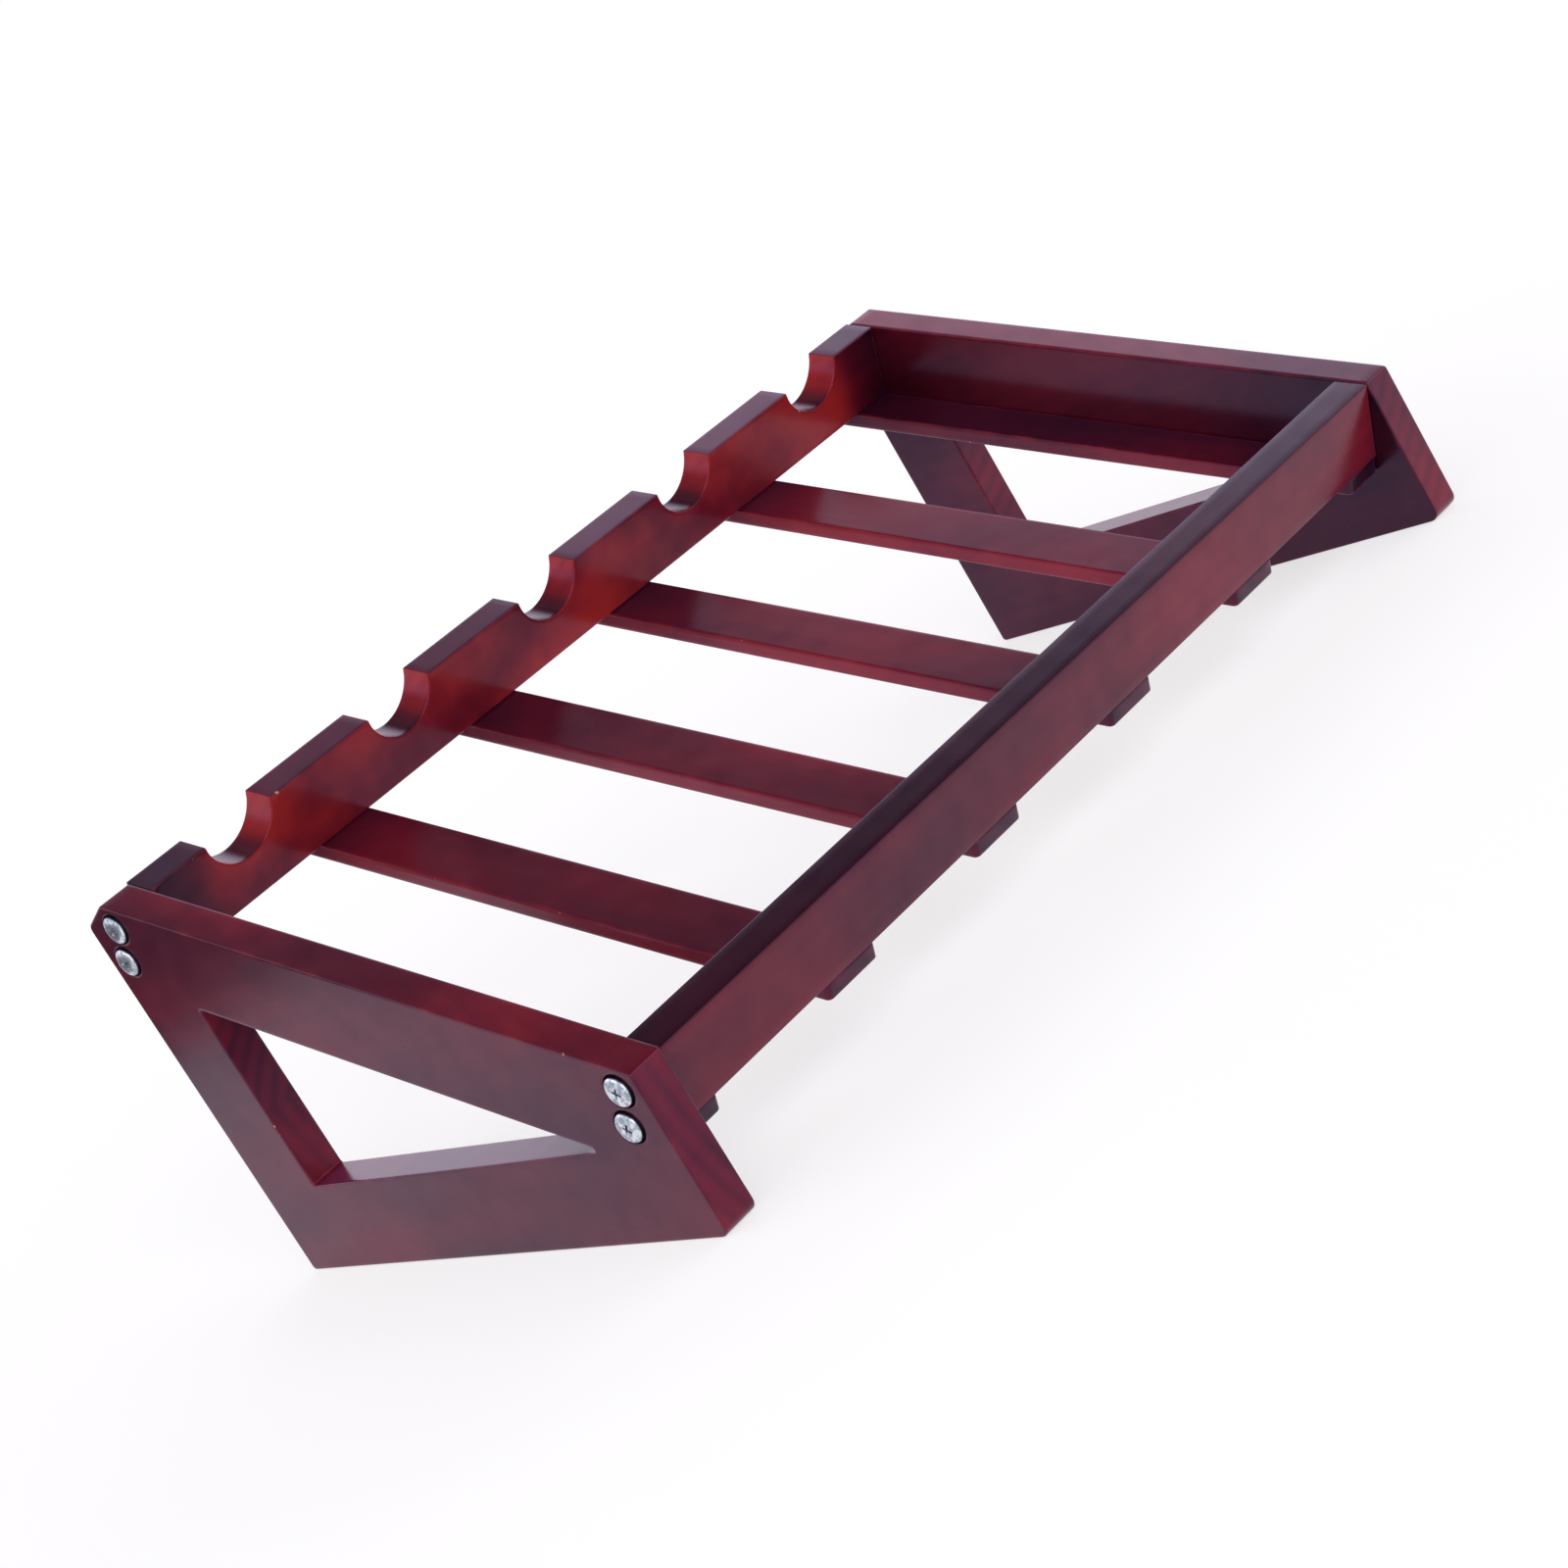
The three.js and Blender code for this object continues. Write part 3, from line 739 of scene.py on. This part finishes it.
def grown(name, graph, identifiers, settings):
    """The plain mesh that a geometry tree makes with these settings, as an object on the sloping bed."""
    holder = bpy.data.objects.new(name, bpy.data.meshes.new(name))
    scene.collection.objects.link(holder)
    modifier = holder.modifiers.new("tree", "NODES")
    modifier.node_group = graph.tree
    for label, setting in settings.items():
        modifier[identifiers[label]] = setting
    bpy.context.view_layer.update()
    evaluated = holder.evaluated_get(bpy.context.evaluated_depsgraph_get())
    mesh = bpy.data.meshes.new_from_object(evaluated)
    holder.modifiers.clear()
    mesh.transform(bed)
    mesh.name = name
    holder.data = mesh
    return holder


def slat_places(slot_in, index, count):
    """A slat's middle along X, and whether it is the first or the last: the rest keep an even pitch."""
    is_first = index.math("LESS_THAN", 0.5)
    is_last = index.math("GREATER_THAN", count - 1.5)
    middle = slot_in["Second Middle"] + (index - 1) * slot_in["Pitch"]
    middle = middle * (1 - is_first) * (1 - is_last)
    middle = middle + is_first * slot_in["First Middle"] + is_last * slot_in["Last Middle"]
    return middle, is_first, is_last


graph, slot_in, identifiers = new_tree("slats_under_the_rails", {
    "Slat Kinds": "Collection", "Count": "Int", "First Middle": "Float", "Second Middle": "Float",
    "Pitch": "Float", "Last Middle": "Float", "Seed": "Int", "Finish": "Material",
})
count = slot_in["Count"]
points = graph.value("GeometryNodeMeshLine", None, {"Count": count})
index = graph.value("GeometryNodeInputIndex")
middle, is_first, is_last = slat_places(slot_in, index, count)
set_out = graph.value("GeometryNodeSetPosition", None, {
    "Geometry": points, "Position": graph.value("ShaderNodeCombineXYZ", None, {0: middle})})
kind_parts = graph.value("GeometryNodeCollectionInfo", {"transform_space": "ORIGINAL"}, {
    "Collection": slot_in["Slat Kinds"], "Separate Children": True, "Reset Children": True})
placed = graph.value("GeometryNodeInstanceOnPoints", None, {
    "Points": set_out, "Instance": kind_parts, "Pick Instance": True,
    "Instance Index": 1 - is_first + is_last})
own_number = graph.value("FunctionNodeRandomValue", {"data_type": "FLOAT"}, {
    2: 0.0, 3: 9.0, "ID": index, "Seed": slot_in["Seed"]}, 1)
numbered = graph.value("GeometryNodeStoreNamedAttribute", {"data_type": "FLOAT", "domain": "INSTANCE"}, {
    "Geometry": placed, "Name": "slat_number", "Value": own_number})
real = graph.value("GeometryNodeRealizeInstances", None, {"Geometry": numbered})
kept_number = graph.value("GeometryNodeInputNamedAttribute", {"data_type": "FLOAT"}, {"Name": "slat_number"})
renumbered = graph.value("GeometryNodeStoreNamedAttribute", {"data_type": "FLOAT", "domain": "POINT"}, {
    "Geometry": real, "Name": "board", "Value": kept_number})
finished = graph.value("GeometryNodeSetMaterial", None, {
    "Geometry": renumbered, "Material": slot_in["Finish"]})
graph.add("NodeGroupOutput", None, {0: finished})
middles = [(low.x + high.x) / 2 for low, high in slat_boxes]
slats = grown("slats", graph, identifiers, {
    "Slat Kinds": kinds, "Count": slat_count, "First Middle": middles[0], "Second Middle": middles[1],
    "Pitch": middles[2] - middles[1], "Last Middle": middles[-1], "Seed": 5, "Finish": slat_wood,
})
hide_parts(*[f"slat_{index + 1}" for index in range(slat_count)])
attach(slats, "root")


# End screws: broad, slightly domed furniture screws of bright zinc plate with a cross recess, two
# through each end frame into each rail's end. Their heads stand a little out of the counterbores.
head_radius = 6.7 * MM
head_height = 3.2 * MM
shank_radius = 2.5 * MM
shank_tip = 5 * MM
recess_reach = 2.7 * MM
recess_root = 1.0 * MM
recess_depth = 1.8 * MM
head_sides = 64


def zinc_plate(name, scratch_scale):
    """Bright zinc: mostly clean metal, dulled in patches, with fine turning marks, and painted shade near
    black in the cross recess and on the head's side.
    """
    material, graph = new_finish(name)
    place = graph.value("ShaderNodeTexCoord", output="Object")
    dull = graph.noise(place, 420.0, detail=4.0, roughness=0.65)
    grit = graph.noise(place, scratch_scale, detail=3.0, roughness=0.7)
    recess = graph.value("ShaderNodeAttribute", {"attribute_name": "recess"}, output="Fac")
    bright = graph.blend(graph.smooth(dull, 0.42, 0.60), (0.30, 0.35, 0.42, 1), (0.74, 0.76, 0.83, 1))
    # Painted shade: the cross recess and the head's side down in the counterbore go near black.
    colour = graph.blend(recess * 0.94, bright, (0.010, 0.009, 0.012, 1))
    relief = grit * 0.000010 + dull * 0.000022
    bump = graph.value(
        "ShaderNodeBump", None, {"Strength": 1.0, "Distance": 1.0, "Height": relief}, "Normal")
    shader = graph.add("ShaderNodeBsdfPrincipled", None, {
        "Base Color": colour,
        "Metallic": 1.0,
        "Roughness": graph.smooth(dull, 0.3, 0.75, 0.36, 0.20) + recess * 0.2,
        "Normal": bump,
    })
    graph.add("ShaderNodeOutputMaterial", None, {0: Value(graph, shader.outputs[0])})
    return material


recess_wing_share = 0.55
recess_floor_share = 0.42
recess_pit_share = 1.15
head_crease = math.radians(38)
head_rim_share = 0.985
recess_dark_share = 0.75


def lathed_screw(name, profile, sides, recess):
    """A screw turned from (radius, depth) steps. Its head faces +X at x = 0 and carries a cross recess."""
    reach, root, depth = recess
    editable = bmesh.new()
    rings = []
    for radius, down in profile:
        ring = [editable.verts.new((
            -down,
            radius * math.cos(2 * math.pi * index / sides),
            radius * math.sin(2 * math.pi * index / sides))) for index in range(sides)]
        rings.append(ring)
    for near, far in zip(rings, rings[1:]):
        for index in range(sides):
            following = (index + 1) % sides
            editable.faces.new((near[index], near[following], far[following], far[index]))
    tip = editable.verts.new((-profile[-1][1] - profile[-1][0] * 0.5, 0, 0))
    for index in range(sides):
        editable.faces.new((rings[-1][index], rings[-1][(index + 1) % sides], tip))
    # The recess is four tapered wings; its rim is joined to the head's first ring.
    rim, floor = [], []
    for index in range(sides):
        angle = 2 * math.pi * index / sides
        wing = max(abs(math.cos(angle)), abs(math.sin(angle)))
        spread = min(abs(math.cos(angle)), abs(math.sin(angle)))
        edge = min(reach, root * recess_wing_share / max(spread, 1e-6))
        edge = max(edge, root * recess_wing_share / wing)
        rim.append(editable.verts.new((0, edge * math.cos(angle), edge * math.sin(angle))))
        narrowed = edge * recess_floor_share
        floor.append(editable.verts.new((
            -depth, narrowed * math.cos(angle), narrowed * math.sin(angle))))
    pit = editable.verts.new((-depth * recess_pit_share, 0, 0))
    for index in range(sides):
        following = (index + 1) % sides
        editable.faces.new((rings[0][index], rings[0][following], rim[following], rim[index]))
        editable.faces.new((rim[index], rim[following], floor[following], floor[index]))
        editable.faces.new((floor[index], floor[following], pit))
    bmesh.ops.remove_doubles(editable, verts=editable.verts, dist=1e-7)
    bmesh.ops.recalc_face_normals(editable, faces=editable.faces)
    mesh = bpy.data.meshes.new(name)
    editable.to_mesh(mesh)
    editable.free()
    mesh.shade_smooth()
    mesh.set_sharp_from_angle(angle=head_crease)
    # Painted shade weights: darker deeper into the cross recess, and full on the head's side and shank below
    # the rim.
    rim_depth = next(down for radius, down in profile if radius > head_rim_share * max(profile)[0])
    painted_recess_shade = np.array([
        -vertex.co.x / depth if math.hypot(vertex.co.y, vertex.co.z) < reach * recess_dark_share
        else float(-vertex.co.x > rim_depth) for vertex in mesh.vertices], np.float32)
    mesh.attributes.new("recess", "FLOAT", "POINT").data.foreach_set("value", np.clip(painted_recess_shade, 0, 1))
    return bpy.data.objects.new(name, mesh)


low, high = bed_box("end_screw_right_front_upper")
screw_length = high.x - low.x
screw_profile = [
    (recess_reach * 1.12, 0.02 * MM), (head_radius * 0.60, 0.12 * MM), (head_radius * 0.76, 0.26 * MM),
    (head_radius * 0.88, 0.50 * MM), (head_radius * 0.955, 0.82 * MM), (head_radius * 0.99, 1.20 * MM),
    (head_radius, 1.55 * MM), (head_radius, head_height - 0.15 * MM), (head_radius - 0.15 * MM, head_height),
    (shank_radius, head_height), (shank_radius, screw_length - shank_tip),
    (0.4 * MM, screw_length - 0.4 * MM),
]
end_screw = lathed_screw(
    "end_screw_pattern", screw_profile, head_sides, (recess_reach, recess_root, recess_depth))


def drive_screws(graph, slot_in, index, points, where, facing):
    """Sets a screw at every place, each turned by its own chance amount about its shank."""
    set_out = graph.value("GeometryNodeSetPosition", None, {"Geometry": points, "Position": where})
    driven = graph.value("FunctionNodeRandomValue", {"data_type": "FLOAT"}, {
        2: 0.0, 3: math.pi / 2, "ID": index, "Seed": slot_in["Seed"]}, 1)
    turned = graph.value("ShaderNodeCombineXYZ", None, {0: driven, **facing})
    screw_part = graph.value("GeometryNodeObjectInfo", {"transform_space": "ORIGINAL"}, {
        "Object": slot_in["Screw"]}, "Geometry")
    placed = graph.value("GeometryNodeInstanceOnPoints", None, {
        "Points": set_out, "Instance": screw_part, "Rotation": turned})
    real = graph.value("GeometryNodeRealizeInstances", None, {"Geometry": placed})
    finished = graph.value("GeometryNodeSetMaterial", None, {
        "Geometry": real, "Material": slot_in["Finish"]})
    graph.add("NodeGroupOutput", None, {0: finished})


graph, slot_in, identifiers = new_tree("screws_through_the_end_frames", {
    "Screw": "Object", "Head Reach": "Float", "Front Line": "Float", "Back Line": "Float",
    "Upper Row": "Float", "Lower Row": "Float", "Seed": "Int", "Finish": "Material",
})
points = graph.value("GeometryNodeMeshLine", None, {"Count": 8})
index = graph.value("GeometryNodeInputIndex")
right = index % 2
back = (index / 2).math("FLOOR") % 2
lower = (index / 4).math("FLOOR")
across = (right * 2 - 1) * slot_in["Head Reach"]
along = slot_in["Front Line"] * (1 - back) + slot_in["Back Line"] * back
height = slot_in["Upper Row"] * (1 - lower) + slot_in["Lower Row"] * lower
where = graph.value("ShaderNodeCombineXYZ", None, {0: across, 1: along, 2: height})
drive_screws(graph, slot_in, index, points, where, {2: (1 - right) * math.pi})
lines = {}
for rail_end in ("front", "back"):
    low, high = bed_box(f"end_screw_right_{rail_end}_upper")
    lines[rail_end] = (low.y + high.y) / 2
rows = {}
for row in ("upper", "lower"):
    low, high = bed_box(f"end_screw_right_front_{row}")
    rows[row] = (low.z + high.z) / 2
end_screws = grown("end_screws", graph, identifiers, {
    "Screw": end_screw, "Head Reach": high.x, "Front Line": lines["front"], "Back Line": lines["back"],
    "Upper Row": rows["upper"], "Lower Row": rows["lower"], "Seed": 3,
    "Finish": zinc_plate("zinc_end_screws", 1500.0),
})
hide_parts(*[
    f"end_screw_{side}_{rail_end}_{row}"
    for side in ("left", "right") for rail_end in ("front", "back") for row in ("upper", "lower")])
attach(end_screws, "root")


# Slat screws: small countersunk screws of the same zinc, driven up through every slat into each rail.
# Only the underside shows them.
small_head_radius = 3.3 * MM
small_shank_radius = 1.5 * MM
small_tip = 4 * MM
small_head_sides = 40
small_reach = 1.9 * MM
small_root = 0.7 * MM
small_depth = 1.2 * MM
low, high = bed_box("slat_screw_front_1")
small_length = high.z - low.z
small_profile = [
    (2.1 * MM, 0.01 * MM), (small_head_radius - 0.1 * MM, 0.02 * MM), (small_head_radius, 0.3 * MM),
    (small_shank_radius, 2.1 * MM), (small_shank_radius, small_length - small_tip),
    (0.3 * MM, small_length - 0.2 * MM)]
slat_screw = lathed_screw(
    "slat_screw_pattern", small_profile, small_head_sides, (small_reach, small_root, small_depth))
graph, slot_in, identifiers = new_tree("screws_up_through_the_slats", {
    "Screw": "Object", "Slats": "Int", "First Middle": "Float", "Second Middle": "Float", "Pitch": "Float",
    "Last Middle": "Float", "Front Line": "Float", "Back Line": "Float", "Underside": "Float",
    "Seed": "Int", "Finish": "Material",
})
count = slot_in["Slats"]
points = graph.value("GeometryNodeMeshLine", None, {"Count": count * 2})
index = graph.value("GeometryNodeInputIndex")
middle, _, _ = slat_places(slot_in, index % count, count)
back = (index / count).math("FLOOR")
along = slot_in["Front Line"] * (1 - back) + slot_in["Back Line"] * back
where = graph.value("ShaderNodeCombineXYZ", None, {0: middle, 1: along, 2: slot_in["Underside"]})
drive_screws(graph, slot_in, index, points, where, {1: math.pi / 2})
slat_screws = grown("slat_screws", graph, identifiers, {
    "Screw": slat_screw, "Slats": slat_count, "First Middle": middles[0], "Second Middle": middles[1],
    "Pitch": middles[2] - middles[1], "Last Middle": middles[-1], "Front Line": screw_lines[0],
    "Back Line": screw_lines[1], "Underside": low.z, "Seed": 8,
    "Finish": zinc_plate("zinc_slat_screws", 2200.0),
})
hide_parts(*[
    f"slat_screw_{row}_{index + 1}" for row in ("front", "back") for index in range(slat_count)])
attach(slat_screws, "root")


# Floor and light: a plain white floor, which glows so that only faint shadows lie on it, runs out to a
# white horizon with a bright band above it and a dim room over that. A very broad soft light stands low
# at the front left, and a weaker one overhead.
floor_radius = 90.0
floor_sides = 96
floor_colour = (0.46, 0.46, 0.435, 1)
floor_glow = 0.62
floor_drop = 0.3 * MM
floor_mesh = bpy.data.meshes.new("floor")
floor_shape = bmesh.new()
bmesh.ops.create_circle(floor_shape, cap_ends=True, radius=floor_radius, segments=floor_sides)
bmesh.ops.translate(floor_shape, verts=floor_shape.verts, vec=(0, 0, -floor_drop))
floor_shape.to_mesh(floor_mesh)
floor_shape.free()
floor = bpy.data.objects.new("floor", floor_mesh)
scene.collection.objects.link(floor)
floor_paint, graph = new_finish("pale_floor")
shader = graph.add("ShaderNodeBsdfPrincipled", None, {
    "Base Color": floor_colour, "Roughness": 0.8, "Specular IOR Level": 0.0,
    "Emission Color": (1, 1, 1, 1), "Emission Strength": floor_glow})
graph.add("ShaderNodeOutputMaterial", None, {0: Value(graph, shader.outputs[0])})
floor_mesh.materials.append(floor_paint)

# A dark card lies out of sight behind the rack's left end, and darkens what the left frame mirrors.
card_left, card_right = -1.9, -0.34
card_front, card_back = 0.60, 2.4
card_lift = 1 * MM
card_colour = (0.03, 0.02, 0.03, 1)
card_mesh = bpy.data.meshes.new("dark_card")
card_corners = [
    (card_left, card_front, card_lift), (card_right, card_front, card_lift),
    (card_right, card_back, card_lift), (card_left, card_back, card_lift)]
card_mesh.from_pydata(card_corners, [], [(0, 1, 2, 3)])
card = bpy.data.objects.new("dark_card", card_mesh)
scene.collection.objects.link(card)
card_paint, graph = new_finish("dark_card")
shader = graph.add("ShaderNodeBsdfPrincipled", None, {"Base Color": card_colour, "Roughness": 0.9})
graph.add("ShaderNodeOutputMaterial", None, {0: Value(graph, shader.outputs[0])})
card_mesh.materials.append(card_paint)
card.visible_camera = card.visible_diffuse = card.visible_shadow = False

surround = bpy.data.worlds.new("surround")
scene.world = surround
surround.use_nodes = True
surround.node_tree.nodes.clear()
graph = Graph(surround.node_tree)
direction = graph.value("ShaderNodeTexCoord", output="Generated")
upward = graph.value("ShaderNodeSeparateXYZ", None, {0: direction}, "Z")
horizon_white = (1.0, 1.0, 1.0)
bright_band = (1.64, 1.56, 1.84)
sky = graph.value("ShaderNodeValToRGB", {"stops": [
    (0.0, horizon_white), (0.15, horizon_white), (0.38, bright_band), (0.57, bright_band),
    (0.69, (0.08, 0.07, 0.09)), (1.0, (0.06, 0.05, 0.07)),
]}, {0: upward})
background = graph.value("ShaderNodeBackground", None, {"Color": sky, "Strength": 1.0})
graph.add("ShaderNodeOutputWorld", None, {0: background})

lamp_distance = 3
for name, towards, spread, power, tint in (
    ("soft_light_front_left", (-0.50, -0.80, 0.45), 50, 1.0, (0.98, 0.98, 1.0)),
    ("soft_light_overhead", (-0.15, 0.25, 1.0), 70, 0.30, (0.97, 0.97, 1.0)),
):
    lamp = bpy.data.lights.new(name, "SUN")
    lamp.angle = math.radians(spread)
    lamp.energy = power
    lamp.color = tint
    stand = bpy.data.objects.new(name, lamp)
    scene.collection.objects.link(stand)
    stand.location = Vector(towards) * lamp_distance
    stand.rotation_euler = (-Vector(towards)).to_track_quat("-Z", "Y").to_euler()
scene.view_settings.view_transform = "Standard"
scene.view_settings.look = "None"
